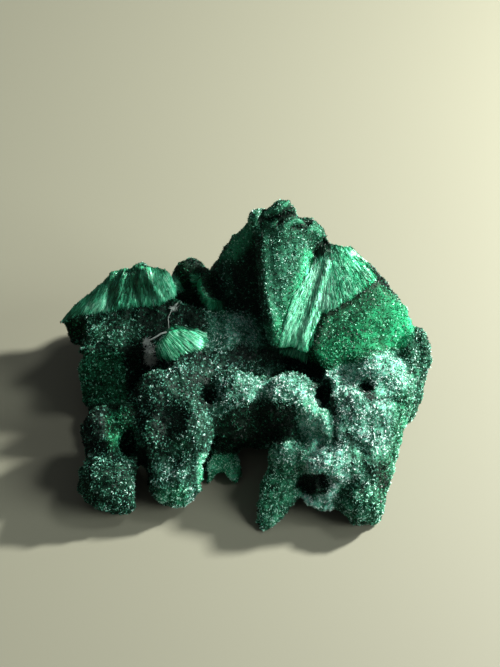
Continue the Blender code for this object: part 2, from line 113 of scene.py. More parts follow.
# Outlines in the frame: their soft edge in pixels, then how light the crystals are there and how pure a
# green, both from 0 to 1. The lightness is partly the crystals' own colour and partly painted light and
# shade: regions that catch the light are painted lighter, and walls, hollows, recesses and gaps darker.
ZONES = [
    ("right_shoulder", [(325, 362), (350, 348), (385, 348), (408, 360), (422, 385), (410, 400),
                        (385, 398), (350, 398), (325, 392)], 10, 0.92, 0.05),
    ("right_shoulder_left", [(318, 362), (345, 352), (352, 372), (350, 392), (324, 396)], 12, 0.96, 0.0),
    ("right_cheek", [(322, 400), (350, 396), (398, 400), (408, 430), (400, 470), (360, 470), (330, 462),
                     (316, 430)], 10, 0.84, 0.0),
    ("right_cheek_low", [(352, 452), (392, 450), (396, 495), (370, 500), (350, 480)], 12, 0.76, 0.2),
    ("right_knee", [(298, 444), (345, 440), (352, 480), (335, 510), (305, 507),
                    (296, 480)], 10, 0.93, 0.0),
    ("right_recess", [(300, 478), (322, 474), (326, 492), (304, 494)], 5, 0.15, 0.3),
    ("right_foot", [(338, 488), (388, 485), (386, 530), (342, 524)], 10, 0.68, 0.4),
    ("right_wall", [(398, 395), (410, 390), (424, 400), (404, 448), (388, 502), (374, 526), (378, 480),
                    (394, 440)], 8, 0.56, 0.6),
    ("back_lobe", [(405, 335), (436, 330), (436, 380), (420, 412), (410, 392)], 8, 0.6, 0.3),
    ("centre_top", [(252, 374), (290, 364), (325, 378), (326, 402), (290, 404),
                    (255, 400)], 12, 0.87, 0.0),
    ("centre_crown", [(300, 370), (320, 376), (327, 400), (308, 392)], 8, 0.68, 0.1),
    ("centre_left", [(208, 374), (250, 364), (262, 400), (215, 420)], 10, 0.71, 0.0),
    ("centre_right", [(298, 404), (328, 404), (334, 440), (312, 452), (296, 434)], 14, 0.98, 0.3),
    ("centre_wall", [(212, 422), (262, 404), (292, 408), (296, 440), (270, 462), (235, 472),
                     (214, 452)], 12, 0.06, 0.5),
    ("left_dome", [(130, 388), (150, 360), (205, 358), (210, 400), (180, 422),
                   (135, 422)], 10, 0.42, 0.1),
    ("left_cheek", [(183, 400), (212, 400), (216, 440), (205, 475), (185, 470)], 10, 0.52, 0.1),
    ("left_hollow", [(150, 408), (182, 405), (184, 432), (158, 438)], 8, 0.12, 0.1),
    ("left_knee", [(150, 462), (205, 458), (207, 510), (148, 508)], 10, 0.64, 0.05),
    ("left_knee_low", [(154, 488), (190, 486), (188, 508), (158, 508)], 8, 0.64, 0.6),
    ("far_left_lobe", [(74, 403), (110, 401), (108, 455), (76, 455)], 8, 0.17, 0.0),
    ("left_bump", [(106, 410), (134, 404), (134, 440), (120, 452), (105, 450)], 6, 0.42, 0.8),
    ("left_bump_patch", [(108, 432), (124, 430), (125, 448), (110, 450)], 5, 0.62, 0.9),
    ("left_cheek_patch", [(172, 443), (188, 440), (188, 456), (174, 457)], 6, 0.62, 0.4),
    ("left_foot", [(73, 455), (138, 452), (140, 518), (76, 514)], 10, 0.46, 0.2),
    ("left_gap", [(136, 448), (150, 452), (148, 508), (138, 508)], 6, 0.08, 0.2),
    ("horn", [(258, 452), (290, 438), (308, 442), (300, 490), (278, 532), (250, 534)], 8, 0.68, 0.5),
    ("horn_top", [(268, 450), (290, 438), (308, 444), (300, 466), (272, 468)], 10, 0.86, 0.15),
    ("fins", [(200, 455), (242, 452), (242, 490), (200, 490)], 4, 0.88, 0.6),
    ("shelf", [(78, 316), (150, 308), (150, 348), (80, 352)], 8, 0.45, 0.3),
    ("slope", [(130, 300), (205, 294), (226, 345), (150, 345)], 12, 0.12, 0.2),
    ("valley", [(205, 306), (262, 312), (264, 352), (208, 350)], 12, 0.92, 0.1),
    ("ridge", [(150, 352), (250, 346), (250, 372), (150, 376)], 10, 0.44, 0.0),
    ("block", [(72, 352), (128, 352), (134, 402), (74, 406)], 8, 0.42, 0.7),
    ("hollow", [(124, 345), (160, 348), (150, 380), (130, 400)], 8, 0.04, 0.2),
    ("dome", [(170, 252), (210, 252), (206, 302), (172, 302)], 6, 0.0, 0.8),
    ("dome_top", [(180, 254), (196, 252), (206, 262), (190, 266)], 5, 0.16, 0.2),
    ("flank", [(205, 240), (246, 205), (258, 240), (262, 318), (238, 308), (214, 310),
               (196, 284)], 8, 0.10, 0.4),
    ("flank_light", [(216, 268), (232, 262), (236, 298), (222, 300)], 10, 0.34, 0.2),
    ("scallop", [(188, 272), (193, 290), (201, 302), (210, 310), (224, 312), (222, 302), (212, 298),
                 (204, 288), (200, 274)], 4, 0.60, 0.9),
    ("pillar", PILLAR, 8, 0.42, 0.4),
    ("pillar_right", [(302, 250), (316, 252), (311, 268), (298, 288), (291, 302), (284, 330),
                      (276, 345), (268, 330), (276, 300), (288, 275)], 12, 0.56, 0.8),
    ("pillar_light", [(268, 250), (300, 240), (300, 270), (285, 300), (272, 320),
                      (264, 290)], 16, 0.51, 0.3),
    ("peak", [(248, 212), (262, 200), (280, 193), (300, 200), (322, 218), (326, 234), (300, 232),
              (270, 228)], 8, 0.42, 0.4),
    ("face", FACE, 5, 0.48, 1.0),
    ("face_dark", [(314, 318), (345, 303), (374, 283), (388, 290), (362, 316), (332, 342),
                   (312, 350)], 10, 0.38, 0.8),
    ("face_light", [(392, 300), (402, 300), (415, 320), (408, 342), (392, 346)], 8, 0.62, 1.0),
    ("slab", SLAB, 3, 0.20, 0.6),
    ("fan", FAN, 8, 0.66, 0.9),
    ("fan_mid", [(312, 253), (328, 250), (333, 300), (318, 311), (306, 304), (304, 276)], 12, 0.94, 0.85),
    ("fan_right", [(346, 242), (357, 249), (367, 262), (377, 279), (362, 290),
                   (352, 268)], 8, 0.38, 0.95),
    ("fan_left", [(300, 284), (286, 322), (280, 352), (306, 360), (314, 330), (318, 300),
                  (314, 280)], 10, 0.83, 0.95),
    ("fan_mouth", [(318, 236), (342, 238), (338, 250), (326, 256), (314, 256)], 8, 0.36, 0.5),
    ("roof", ROOF, 5, 0.44, 0.6),
    ("roof_fringe_left", [(84, 298), (111, 292), (112, 310), (86, 312)], 6, 0.76, 0.8),
    ("roof_fringe_middle", [(118, 296), (156, 293), (160, 304), (120, 307)], 6, 0.66, 0.8),
    ("roof_fringe_right", [(154, 274), (180, 276), (182, 292), (160, 302)], 8, 0.70, 0.8),
    ("under_roof", [(64, 322), (84, 320), (84, 338), (64, 340)], 4, 0.22, 0.9),
    ("chip", CHIP, 3, 0.68, 1.0),
    ("flank_top", [(228, 236), (246, 208), (256, 216), (254, 246), (236, 262),
                   (214, 262)], 10, 0.60, 0.5),
    ("chip_right", [(186, 328), (206, 332), (206, 346), (188, 350)], 6, 0.80, 0.9),
]
# The same where no outline reaches.
PLAIN_TONE, PLAIN_GREEN = 0.42, 0.25

# Folds of the peak, which are both deeper and darker, the darkness painted shade.
FOLD_UPPER = [(264, 220), (279, 216), (290, 208), (295, 202)]
FOLD_MIDDLE = [(278, 223), (290, 215), (299, 214), (308, 220)]
FOLD_LOWER = [(295, 227), (304, 227), (313, 219)]

# Lines in the frame along which the crystals are painted lighter or darker: breadth in pixels, change of
# tone. A rise is mostly a painted highlight along a lit rim or lip; a fall is painted shade in a fold, gap
# or pit.
LIGHT_AND_SHADE_LINES = [
    ("right_rim", [(392, 399), (402, 408), (407, 424), (405, 445), (398, 470), (390, 490)], 4.0, 0.22),
    ("shoulder_rim", [(392, 352), (405, 360), (413, 374), (408, 392)], 4.0, 0.08),
    ("lobe_rim", [(326, 412), (330, 432)], 5.0, 0.2),
    ("horn_rim", [(296, 480), (286, 504), (272, 520)], 4.0, 0.12),
    ("knee_rim", [(299, 493), (306, 503), (318, 510), (334, 508)], 2.6, 0.2),
    ("left_knee_green", [(158, 500), (172, 497), (186, 503)], 5.0, 0.12),
    ("left_knee_rim", [(158, 494), (166, 504), (182, 507)], 3.0, 0.16),
    ("left_lobe_rim", [(106, 424), (114, 412), (124, 406)], 2.2, 0.15),
    ("block_rim", [(78, 360), (78, 380), (80, 398)], 2.4, 0.2),
    ("fold_upper", FOLD_UPPER, 2.6, -0.35),
    ("fold_middle", FOLD_MIDDLE, 2.6, -0.35),
    ("fold_lower", FOLD_LOWER, 2.6, -0.35),
    ("fold_left", [(266, 204), (262, 215), (260, 228)], 2.6, -0.25),
    ("lip_upper", [(264, 213), (276, 209), (288, 201)], 3.0, 0.16),
    ("lip_lower", [(284, 229), (296, 221), (306, 222)], 3.0, 0.14),
    ("peak_right", [(312, 226), (321, 236)], 5.0, 0.2),
    ("fan_mouth", [(331, 240), (323, 245), (317, 251)], 3.5, -0.5),
    ("pit", [(364, 388), (371, 394)], 5.0, -0.9),
    ("lobe_gap", [(325, 383), (327, 398), (333, 412)], 4.5, -0.7),
    ("left_gap", [(206, 380), (209, 392), (208, 404)], 4.5, -0.6),
    ("knee_gap", [(345, 432), (350, 452), (347, 470)], 5.0, -0.15),
    ("cheek_gap", [(372, 470), (382, 478), (388, 484)], 7.0, -0.35),
    ("hollow_gap", [(160, 412), (168, 420), (174, 416)], 8.0, -0.3),
    ("tent_gap", [(238, 352), (262, 354), (285, 358), (305, 364), (316, 372)], 6.0, -0.8),
    ("pillar_gap", [(256, 240), (256, 262), (258, 290), (264, 316)], 6.0, -0.3),
    ("face_edge", [(376, 283), (356, 297), (336, 311), (324, 316), (316, 336), (310, 352)], 4.0, -0.3),
    ("face_rim", [(398, 350), (410, 338), (414, 322), (408, 308)], 2.6, 0.25),
]

# Creases and ridges: where they run in the frame, their breadth in pixels, and how far they rise, in mm.
STROKES = [
    ("peak_left_knob", [(266, 203), (262, 214), (260, 226)], 3.0, -0.5),
    ("peak_fold_upper", FOLD_UPPER, 2.6, -0.7),
    ("peak_fold_middle", FOLD_MIDDLE, 2.6, -0.7),
    ("peak_fold_lower", FOLD_LOWER, 2.6, -0.6),
    ("peak_lip_upper", [(266, 214), (279, 210), (289, 202)], 3.0, 0.45),
    ("peak_lip_lower", [(284, 227), (294, 220), (303, 220)], 2.6, 0.4),
    ("pillar_edge", [(264, 240), (263, 270), (267, 300), (274, 325)], 5.0, 0.5),
    ("fan_notch", [(331, 240), (322, 246), (316, 253)], 3.0, -0.7),
    ("fan_line", [(322, 312), (316, 328), (309, 352)], 2.0, -0.8),
    ("fan_cord", [(326, 262), (320, 285), (311, 312), (302, 340)], 3.0, 0.35),
    ("slab_line", [(360, 257), (376, 274), (395, 289)], 2.5, -0.6),
    ("lobe_crease", [(318, 385), (324, 398), (330, 418), (332, 440)], 3.5, -0.8),
    ("right_fold", [(372, 398), (386, 396), (398, 400)], 3.0, -0.4),
    ("right_groove", [(345, 436), (362, 448), (378, 462), (388, 476)], 4.0, -0.4),
    ("foot_recess", [(304, 486), (314, 480), (322, 482)], 6.0, -1.2),
    ("foot_rim", [(301, 494), (309, 504), (320, 509), (331, 508)], 2.2, 0.4),
    ("left_crease", [(141, 452), (142, 470), (143, 500)], 4.0, -0.8),
    ("block_crease", [(80, 357), (100, 360), (122, 358)], 2.5, -0.6),
    ("roof_rib_one", [(108, 273), (101, 286), (93, 300)], 3.0, 0.4),
    ("roof_rib_two", [(126, 270), (120, 284), (118, 302)], 3.0, 0.4),
    ("roof_rib_three", [(146, 268), (150, 282), (160, 298)], 3.0, 0.35),
    ("roof_dip_one", [(118, 272), (110, 286), (106, 306)], 3.0, -0.45),
    ("roof_dip_two", [(136, 270), (133, 285), (138, 303)], 3.0, -0.4),
    ("roof_dip_three", [(148, 262), (140, 266), (128, 272)], 2.5, -0.6),
]


def set_camera():
    camera = bpy.data.objects.new("camera", bpy.data.cameras.new("camera"))
    bpy.context.scene.collection.objects.link(camera)
    camera.data.lens = LENS
    camera.data.sensor_width = SENSOR
    camera.data.clip_start = NEAR_CLIP
    camera.data.clip_end = FAR_CLIP
    turn = Matrix((RIGHT, UP, BACK)).transposed().to_4x4()
    camera.matrix_world = Matrix.Translation(EYE) @ turn
    bpy.context.scene.camera = camera


def set_lights():
    for name, (kind, strength, width, elevation, turn, colour) in LIGHTS.items():
        light = bpy.data.objects.new(name, bpy.data.lights.new(name, kind))
        bpy.context.scene.collection.objects.link(light)
        rise, bearing = math.radians(elevation), math.radians(turn)
        level = math.cos(rise)
        toward = Vector((level * math.sin(bearing), level * math.cos(bearing), math.sin(rise)))
        light.data.color = colour
        light.rotation_mode = "QUATERNION"
        light.rotation_quaternion = toward.to_track_quat("Z", "Y")
        if kind == "SUN":
            light.data.energy = strength
            light.data.angle = math.radians(width)
        else:
            light.data.shape = "DISK"
            light.data.size = 2 * LAMP_DISTANCE * math.tan(math.radians(width / 2))
            light.data.energy = strength * math.pi * LAMP_DISTANCE ** 2
            light.location = LAMP_AIM + toward * LAMP_DISTANCE

    world = bpy.data.worlds.new("studio")
    world.use_nodes = True
    bpy.context.scene.world = world
    sky = world.node_tree.nodes["Background"]
    sky.inputs["Color"].default_value = (*FILL_COLOUR, 1.0)
    sky.inputs["Strength"].default_value = FILL_STRENGTH
    bpy.context.scene.view_settings.view_transform = "Standard"


# ---- reading and making meshes ----

def read(mesh):
    """The mesh's points and their normals, as arrays."""
    count = len(mesh.vertices)
    points = np.empty(count * 3)
    mesh.vertices.foreach_get("co", points)
    normals = np.empty(count * 3)
    mesh.vertex_normals.foreach_get("vector", normals)
    return points.reshape(-1, 3), normals.reshape(-1, 3)


def triangles_of(mesh):
    mesh.calc_loop_triangles()
    corners = np.empty(len(mesh.loop_triangles) * 3, dtype=np.int32)
    mesh.loop_triangles.foreach_get("vertices", corners)
    return corners.reshape(-1, 3)


def inside_box(points):
    return np.clip(points, np.array(cad_box[0]), np.array(cad_box[1]))


def piece(name, points, triangles, material, marks=None, smooth=True):
    """A mesh object that rides on the stone, with each mark as a number on its points."""
    mesh = bpy.data.meshes.new(name)
    mesh.vertices.add(len(points))
    mesh.vertices.foreach_set("co", inside_box(points).ravel())
    mesh.loops.add(len(triangles) * 3)
    mesh.loops.foreach_set("vertex_index", triangles.astype(np.int32).ravel())
    mesh.polygons.add(len(triangles))
    mesh.polygons.foreach_set("loop_start", np.arange(0, len(triangles) * 3, 3, dtype=np.int32))
    mesh.polygons.foreach_set("use_smooth", np.full(len(triangles), smooth))
    mesh.update(calc_edges=True)
    for mark, values in (marks or {}).items():
        layer = mesh.attributes.new(mark, "FLOAT", "POINT")
        layer.data.foreach_set("value", np.asarray(values, dtype=np.float32))
    mesh.materials.append(material)
    made = bpy.data.objects.new(name, mesh)
    bpy.context.scene.collection.objects.link(made)
    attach(made, "root")
    return made


# ---- looking through the camera ----

# How far off the skin a sight line to the camera starts, in mm.
SIGHT_LIFT = 0.3


def seen_at(points):
    """Where points are seen in the frame, as places across and down in pixels."""
    reach = points - EYE
    depth = -(reach @ BACK)
    across = FRAME_WIDTH / 2 + FOCAL_PX * (reach @ RIGHT) / depth
    down = FRAME_HEIGHT / 2 - FOCAL_PX * (reach @ UP) / depth
    return np.stack([across, down], axis=-1)


def gap_to_line(line, places):
    """How far places in the frame are from a bent line, in pixels."""
    gap = np.full(len(places), np.inf)
    for start, end in zip(np.array(line[:-1], dtype=float), np.array(line[1:], dtype=float)):
        side = end - start
        along = np.clip(((places - start) @ side) / (side @ side), 0, 1)
        gap = np.minimum(gap, np.linalg.norm(places - start - along[:, None] * side, axis=1))
    return gap


def share_inside(outline, places, soft):
    """1 well inside an outline in the frame, 0 well outside, with an edge that is soft pixels wide."""
    ring = np.array(outline, dtype=float)
    inside = np.zeros(len(places), dtype=bool)
    for (ax, ay), (bx, by) in zip(ring, np.roll(ring, -1, axis=0)):
        crosses = (ay > places[:, 1]) != (by > places[:, 1])
        rise = by - ay if by != ay else TINY
        inside ^= crosses & (places[:, 0] < (bx - ax) * (places[:, 1] - ay) / rise + ax)
    gap = gap_to_line(outline + outline[:1], places)
    return np.clip(0.5 + np.where(inside, gap, -gap) / soft, 0, 1)


def zone_marks(places):
    """How light and how green the crystals are at places in the frame, with the painted light and shade of
    the zones and lines.
    """
    tone = np.full(len(places), PLAIN_TONE)
    green = np.full(len(places), PLAIN_GREEN)
    for _, outline, soft, zone_tone, zone_green in ZONES:
        share = share_inside(outline, places, soft)
        tone += share * (zone_tone - tone)
        green += share * (zone_green - green)
    for _, line, breadth, change in LIGHT_AND_SHADE_LINES:
        tone += change * np.exp(-(gap_to_line(line, places) / breadth) ** 2)
    return np.clip(tone, 0, 1), green


class Skin:
    """The fine skin, and what the camera sees of it."""

    def __init__(self, points, normals, triangles):
        self.points = points
        self.normals = normals
        self.triangles = triangles
        self.tree = BVHTree.FromPolygons(points.tolist(), triangles.tolist())

    def hit(self, across, down):
        """The point and normal seen at a place in the frame, or None."""
        sideways = RIGHT * (across - FRAME_WIDTH / 2) / FOCAL_PX
        upward = UP * (down - FRAME_HEIGHT / 2) / FOCAL_PX
        ray = Vector(sideways - upward - BACK).normalized()
        place, normal, _, _ = self.tree.ray_cast(Vector(EYE), ray)
        if place is None:
            return None
        return np.array(place), np.array(normal)

    def shows(self, point, normal):
        """True where nothing of the skin is between a point and the camera."""
        start = Vector(point + normal * SIGHT_LIFT * MM)
        place = self.tree.ray_cast(start, (Vector(EYE) - start).normalized())[0]
        return place is None


# ---- the skin ----

SKIN_VOXEL = 0.35 * MM
SOFTEN_SHARE, SOFTEN_ROUNDS = 0.5, 4
# The knobs rise from a skin that lies this far inside the solid.
SKIN_INSET = 0.22 * MM
# Forms whose flutes are softer than the solid's: outline in the frame, rounds of easing.
FLATTENED = [(FAN, 70), (ROOF, 5), (FACE, 9)]
# Lobes that stand nearer or farther than the solid's: outline in the frame, soft edge in pixels, mm nearer.
SHIFTS = [
    ("knee", [(302, 448), (342, 446), (346, 478), (330, 492), (304, 486)], 22, 1.5),
    ("centre_right", [(300, 402), (324, 404), (332, 438), (308, 448)], 18, 1.8),
    ("right_belly", [(345, 412), (392, 412), (392, 455), (356, 462)], 26, -1.1),
]
# Balls of stone that close see-through or over-deep gaps: place and radius, in mm.
PLUGS = [
    ((-9.0, 14.5, 11.6), 2.6), ((-7.0, 13.0, 11.0), 2.6), ((-4.6, -6.6, 11.6), 1.0),
    ((-6.4, -4.6, 11.4), 1.2), ((-5.9, -4.2, 12.3), 1.4), ((10.2, -13.0, 8.6), 1.6),
]

# The marks of the front fade where the skin turns away from the camera, and where it leans back.
FACING_STEEP, FACING_EDGE = 3, 0.6
LEAN_LIMIT, LEAN_SOFT = 0.75, 0.3
# Soft edges of the differently grown regions, in pixels, and how much of the roughness two of them lose.
SILK_EDGE, PLAIN_EDGE, BLOCK_EDGE = 6, 10, 8
PLAIN_CALM, BLOCK_CALM = 0.75, 0.6

# Relief: pitches in metres, heights in mm. Knobs rise steeply from their creases and fall away from
# their crowns, and all bumps are let down a little.
LUMP_PITCH, LUMP_HEIGHT = 3.1 * MM, 0.46
KNOB_PITCH, KNOB_HEIGHT = 1.25 * MM, 0.34
KNOB_STEEP, KNOB_ROUND = 1.6, 0.6
ROUGH_DROP = 0.36
GRAIN_PITCH, GRAIN_HEIGHT = 0.7 * MM, 0.10
WAVE_PITCH = 4 * MM
# Flutes: root in the frame, ridges to a full turn, height. The waver is in radians.
FLUTES = {"roof": ((140, 240), 90, 0.05), "silk": ((326, 228), 130, 0.03)}
FLUTE_WAVER = 3
# Growth bands of the block: height, then radians to a pixel and the waver, in radians.
BAND_HEIGHT, BAND_TURN, BAND_WAVER = 0.16, 0.55, 2.5
# Towards the table the relief fades out, over this height.
FOOT_HEIGHT = 0.8 * MM

# Painted light and shade on the relief: crowns are painted lighter than creases, change of tone to a mm,
# and the height that keeps its tone.
PAINTED_RELIEF_SHADING, CROWN_LEVEL = 0.38, 0.1
# How much darker the stone between the crystals is painted than they are, as painted shade among them,
# where it is smooth and where it is rough.
GROUND_SMOOTH, GROUND_ROUGH = 0.36, 0.54


def fine_copy(node):
    """The solid, remeshed fine and with its facets rounded off."""
    draft = bpy.data.objects.new("draft", node.data.copy())
    bpy.context.scene.collection.objects.link(draft)
    shape = bmesh.new()
    shape.from_mesh(draft.data)
    for place, radius in PLUGS:
        matrix = Matrix.Translation(Vector(place) * MM)
        bmesh.ops.create_icosphere(shape, subdivisions=3, radius=radius * MM, matrix=matrix)
    shape.to_mesh(draft.data)
    shape.free()
    remesh = draft.modifiers.new("remesh", "REMESH")
    remesh.mode = "VOXEL"
    remesh.voxel_size = SKIN_VOXEL
    soften = draft.modifiers.new("soften", "SMOOTH")
    soften.factor = SOFTEN_SHARE
    soften.iterations = SOFTEN_ROUNDS
    graph = bpy.context.evaluated_depsgraph_get()
    mesh = bpy.data.meshes.new_from_object(draft.evaluated_get(graph))
    bpy.data.objects.remove(draft)
    return mesh


def eased(points, triangles, share, rounds):
    """The points drawn to the middle of their neighbours, each by its share, in so many rounds."""
    pairs = np.concatenate([triangles[:, [0, 1]], triangles[:, [1, 2]], triangles[:, [2, 0]]])
    first, second = np.unique(np.sort(pairs, axis=1), axis=0).T
    here, there = np.concatenate([first, second]), np.concatenate([second, first])
    size = len(points)
    count = np.bincount(here, minlength=size)
    for _ in range(rounds):
        sums = [np.bincount(here, points[there, axis], size) / count for axis in range(3)]
        points = points + share[:, None] * (np.stack(sums, axis=1) - points)
    return points


def smooth_skin(node):
    """The fine copy with the flutes of some forms eased: its points, normals and triangles, and the places
    in the frame where its points were seen before the easing.
    """
    mesh = fine_copy(node)
    points, normals = read(mesh)
    triangles = triangles_of(mesh)
    places = seen_at(points)
    for outline, rounds in FLATTENED:
        share = share_inside(outline, places, SILK_EDGE) * (normals @ BACK > 0)
        points = eased(points, triangles, share, rounds)
    mesh.vertices.foreach_set("co", points.ravel())
    mesh.update()
    points, normals = read(mesh)
    return points, normals, triangles, places


def forward(normals):
    """1 where the skin faces forward or up, 0 where it leans back."""
    return np.clip((LEAN_LIMIT - normals[:, 1]) / LEAN_SOFT, 0, 1)


def grown(outlines, places, soft):
    """1 inside any of the outlines in the frame, 0 outside them all."""
    return np.maximum.reduce([share_inside(outline, places, soft) for outline in outlines])


def knobs(place, pitch):
    """A rounded knob in each cell of a pitch: 1 on its crown, 0 in the creases."""
    near = noise.voronoi(place / pitch)[0]
    return min(1.0, (near[1] - near[0]) * KNOB_STEEP) * (1.0 - KNOB_ROUND * near[0])


def ridges(places, root, count, waver):
    """Ridges that spread from a root in the frame, between -1 and 1."""
    angle = np.arctan2(places[:, 1] - root[1], places[:, 0] - root[0])
    return np.sin(angle * count + waver)


def relief(points, places, shares, rough, seen):
    """How far each point of the skin rises, in mm."""
    raised = np.zeros(len(points))
    wave = np.zeros(len(points))
    for index, point in enumerate(points):
        place = Vector(point)
        lump = knobs(place, LUMP_PITCH)
        knob = knobs(place, KNOB_PITCH)
        wave[index] = noise.noise(place / WAVE_PITCH)
        bumps = LUMP_HEIGHT * lump + KNOB_HEIGHT * knob - ROUGH_DROP
        raised[index] = rough[index] * bumps + GRAIN_HEIGHT * noise.noise(place / GRAIN_PITCH)
    for region, (root, count, height) in FLUTES.items():
        raised += shares[region] * height * ridges(places, root, count, wave * FLUTE_WAVER)
    raised += shares["block"] * BAND_HEIGHT * np.sin(places[:, 1] * BAND_TURN + wave * BAND_WAVER)
    for _, line, breadth, height in STROKES:
        raised += seen * height * np.exp(-(gap_to_line(line, places) / breadth) ** 2)
    return raised


def make_skin(node):
    """The piece that stands for the solid, as a Skin, with the marks on its points."""
    points, normals, triangles, places = smooth_skin(node)
    front = np.clip((normals @ BACK) * FACING_STEEP + FACING_EDGE, 0, 1) * forward(normals)
    shares = {
        "silk": grown((FAN, CHIP, SCALLOP), places, SILK_EDGE) * front,
        "roof": share_inside(ROOF, places, SILK_EDGE) * front,
        "plain": grown((FACE, PILLAR, FLANK), places, PLAIN_EDGE) * front,
        "block": share_inside(BLOCK, places, BLOCK_EDGE) * front,
    }
    calm = [shares["silk"], shares["roof"], shares["plain"] * PLAIN_CALM, shares["block"] * BLOCK_CALM]
    rough = 1 - np.maximum.reduce(calm)
    bald = Skin(points, normals, triangles)
    shown = [turned and bald.shows(*at) for turned, at in zip(front > 0, zip(points, normals))]
    seen = np.array(shown, dtype=float) * forward(normals)

    # Tones carry the painted light and shade of the zones and lines.
    tone, green = zone_marks(places)
    tone = seen * tone + (1 - seen) * PLAIN_TONE
    green = seen * green + (1 - seen) * PLAIN_GREEN
    raised = relief(points, places, shares, rough, seen)
    for _, outline, soft, shift in SHIFTS:
        share = share_inside(outline, places, soft) * seen
        points = points + BACK * (share * share * (3 - 2 * share) * shift * MM)[:, None]
    # Painted shading: crowns of the relief lighter, its creases darker.
    tone = np.clip(tone + PAINTED_RELIEF_SHADING * rough * (raised - CROWN_LEVEL), 0, 1)
    lift = np.clip(points[:, 2] / FOOT_HEIGHT, 0, 1)
    points = points + normals * ((raised * MM - SKIN_INSET) * lift)[:, None]
    # Painted shade on the stone between the crystals.
    ground = tone - GROUND_SMOOTH - (GROUND_ROUGH - GROUND_SMOOTH) * rough
    marks = {**shares, "tone": tone, "green": green, "ground": ground}
    made = piece("malachite_skin", points, triangles, skin_material(), marks)
    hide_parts("malachite")
    points, normals = read(made.data)
    return Skin(points, normals, triangles), marks


# ---- velvet: short crystal needles ----

# Each velvet: crystals to a square mm, their width and height, how much they lean, spread of tone.
VELVETS = {
    "front": (26, 0.22 * MM, 0.24 * MM, 0.8, 0.11),
    "back": (10, 0.30 * MM, 0.30 * MM, 0.7, 0.14),
    "tent": (26, 0.19 * MM, 0.18 * MM, 0.8, 0.10),
}
# The least share of the width and of the height, and what chance adds.
NEEDLE_WIDTHS, NEEDLE_HEIGHTS = (0.7, 0.6), (0.55, 0.75)
# How deep a crystal is rooted, in mm.
NEEDLE_ROOT = 0.12
NEEDLE_FACES = np.array([(0, 1, 2), (0, 2, 3), (0, 3, 1)])
# Patches of neighbouring crystals that share their tone: pitch, depth.
CLUMPS = [(0.36 * MM, 0.95), (1.4 * MM, 0.24), (4.5 * MM, 0.08)]


def scatter(skin, marks, density, chance):
    """Random places on the skin, so many to a square millimetre, kept by the chance at each point."""
    corners = skin.points[skin.triangles]
    across = np.cross(corners[:, 1] - corners[:, 0], corners[:, 2] - corners[:, 0])
    area = np.linalg.norm(across, axis=1) / 2
    weight = area * chance[skin.triangles].mean(axis=1)
    total = int(weight.sum() / MM ** 2 * density)
    chosen = rng.choice(len(weight), size=total, p=weight / weight.sum())
    first, second = rng.random(total), rng.random(total)
    over = first + second > 1
    first[over], second[over] = 1 - first[over], 1 - second[over]
    share = np.stack([1 - first - second, first, second], axis=1)
    points = (corners[chosen] * share[:, :, None]).sum(axis=1)
    normals = (skin.normals[skin.triangles[chosen]] * share[:, :, None]).sum(axis=1)
    normals /= np.linalg.norm(normals, axis=1)[:, None]
    tone = (marks["tone"][skin.triangles[chosen]] * share).sum(axis=1)
    green = (marks["green"][skin.triangles[chosen]] * share).sum(axis=1)
    return points, normals, tone, green


def clumps(points):
    """Neighbouring crystals share their tone: patches of three sizes, lighter and darker."""
    change = np.zeros(len(points))
    for pitch, depth in CLUMPS:
        change += depth * np.array([noise.noise(Vector(place)) for place in points / pitch])
    return change


def needles(name, placed, width, height, lean, spread, material):
    """Three-sided crystal needles standing on the skin."""
    points, normals, tone, green = placed
    count = len(points)
    aim = normals + lean * rng.normal(size=(count, 3))
    aim /= np.linalg.norm(aim, axis=1)[:, None]
    side = np.cross(aim, rng.normal(size=(count, 3)))
    side /= np.linalg.norm(side, axis=1)[:, None]
    other = np.cross(aim, side)
    wide = (width * (NEEDLE_WIDTHS[0] + NEEDLE_WIDTHS[1] * rng.random(count)) / 2)[:, None]
    tall = (height * (NEEDLE_HEIGHTS[0] + NEEDLE_HEIGHTS[1] * rng.random(count)))[:, None]
    foot = points - aim * NEEDLE_ROOT * MM
    corners = [foot + aim * (tall + NEEDLE_ROOT * MM)]
    for turn in (0, 120, 240):
        spoke = math.cos(math.radians(turn)) * side + math.sin(math.radians(turn)) * other
        corners.append(foot + spoke * wide)
    made = np.stack(corners, axis=1).reshape(-1, 3)
    triangles = (np.arange(count) * 4)[:, None, None] + NEEDLE_FACES[None]
    tone = np.clip(tone + spread * rng.normal(size=count) + clumps(points), 0, 1)
    # The tip mark: 0 at a crystal's foot, where its painted shade is, 1 at its point.
    tip = np.tile([1.0, 0.0, 0.0, 0.0], count)
    own = {"tone": np.repeat(tone, 4), "green": np.repeat(green, 4), "tip": tip}
    return piece(name, made, triangles.reshape(-1, 3), material, own, smooth=False)


def velvet(name, kind, skin, marks, chance, material):
    density, *shape = VELVETS[kind]
    needles(name, scatter(skin, marks, density, chance), *shape, material)


# ---- silky fibres ----

# Each set: outline, root in the frame, most fibres, length in pixels, width, lift, spread of tone.
FIBRES = {
    "fan_fibres": (FAN, (326, 226), 12000, 10, 0.10 * MM, 0.2 * MM, 0.20),
    "chip_fibres": (CHIP, (146, 312), 2200, 11, 0.11 * MM, 0.2 * MM, 0.26),
    "roof_fibres": (ROOF, (140, 225), 8000, 8, 0.11 * MM, 0.18 * MM, 0.12),
    "scallop_fibres": (SCALLOP, (222, 278), 900, 7, 0.12 * MM, 0.2 * MM, 0.12),
}
# Places tried for each fibre, so that enough of them fall inside the outline.
FIBRE_TRIES = 4
# Pixels to a step of a fibre, the fewest steps, and the longest jump over the skin, in steps.
FIBRE_STEP, FIBRE_LEAST, FIBRE_JUMP = 3.0, 3, 3.5
# Radians that a fibre strays by, and twice the pixels that it may run past the outline.
FIBRE_WAVER, OVERSHOOT = 0.05, 6.0
